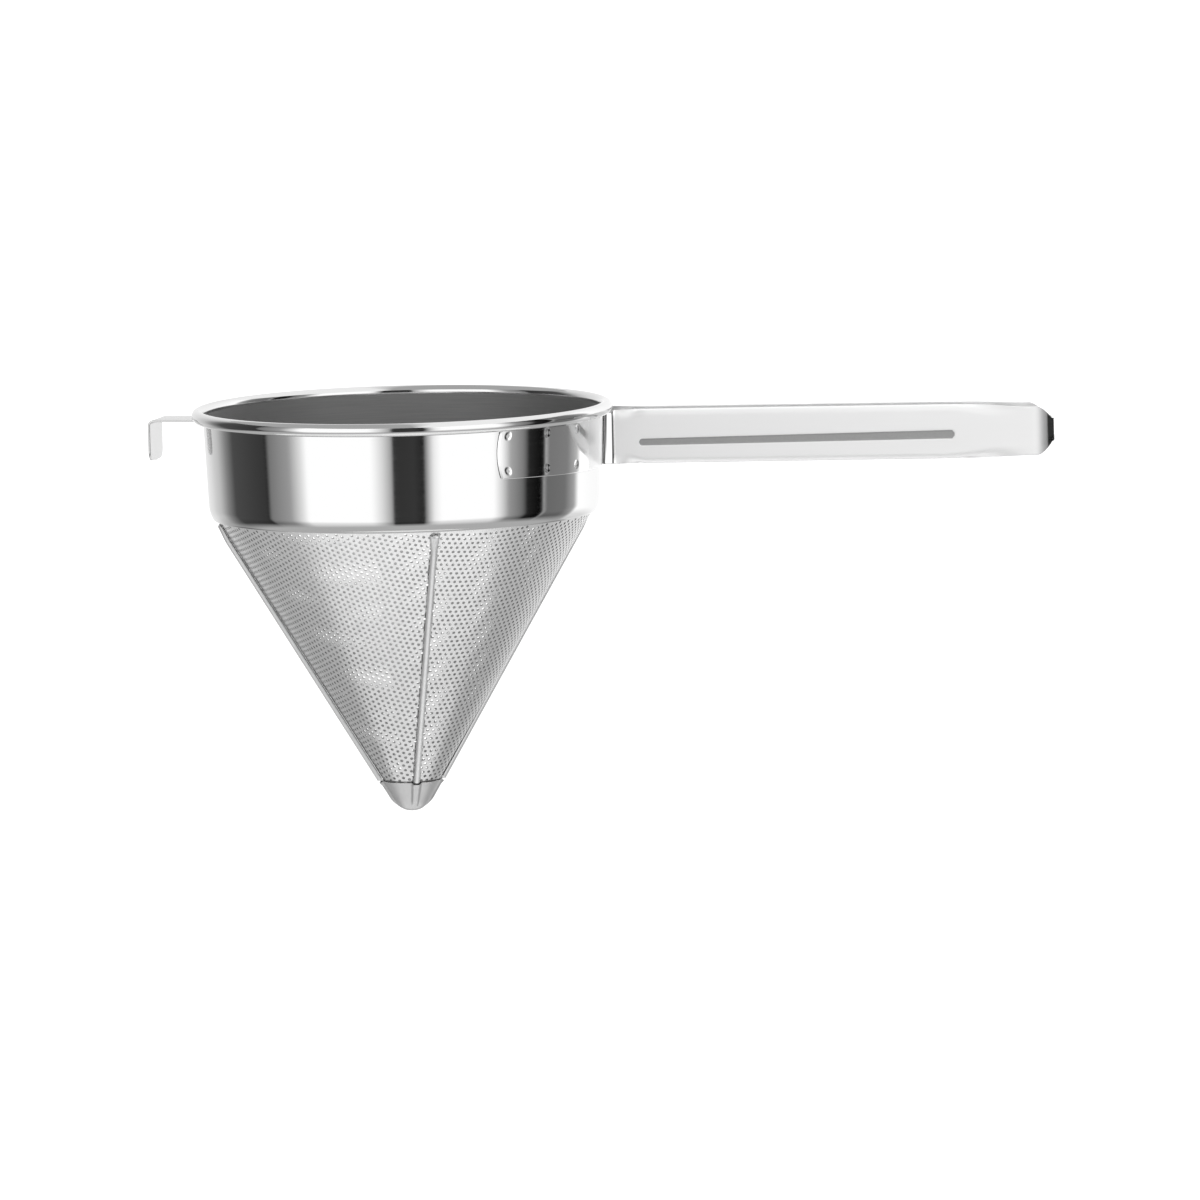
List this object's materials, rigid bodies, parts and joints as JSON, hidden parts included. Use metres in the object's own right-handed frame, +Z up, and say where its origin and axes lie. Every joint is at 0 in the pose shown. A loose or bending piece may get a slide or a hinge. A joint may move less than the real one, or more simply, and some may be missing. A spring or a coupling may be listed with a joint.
{
  "type": "conical strainer",
  "caption": "Conical perforated steel strainer with a rolled-rim band, stiffening ribs, a tip cap, a long folded strap handle and a hook for a pot's edge.",
  "frame": {"origin": "on the bowl's axis, level with the underside of the hook, which is the plane of the pot edge that the strainer hangs on", "axes": "+Z up along the bowl's axis, out of its mouth; +X along the handle, away from the bowl"},
  "size_m": [0.4383, 0.2032, 0.1974],
  "materials": {
    "mirror_steel": "mirror polished stainless steel",
    "perforated_steel": "bright perforated stainless sheet",
    "rib_steel": "satin stainless steel",
    "strap_steel": "smooth bright stainless steel"
  },
  "bodies": {
    "root": {"rim_band": "mirror_steel", "strainer_cone": "perforated_steel", "rib_front": "rib_steel", "rib_right": "rib_steel", "rib_back": "rib_steel", "rib_left": "rib_steel", "tip_cap": "rib_steel", "handle": "strap_steel", "hook": "strap_steel"}
  },
  "joints": []
}
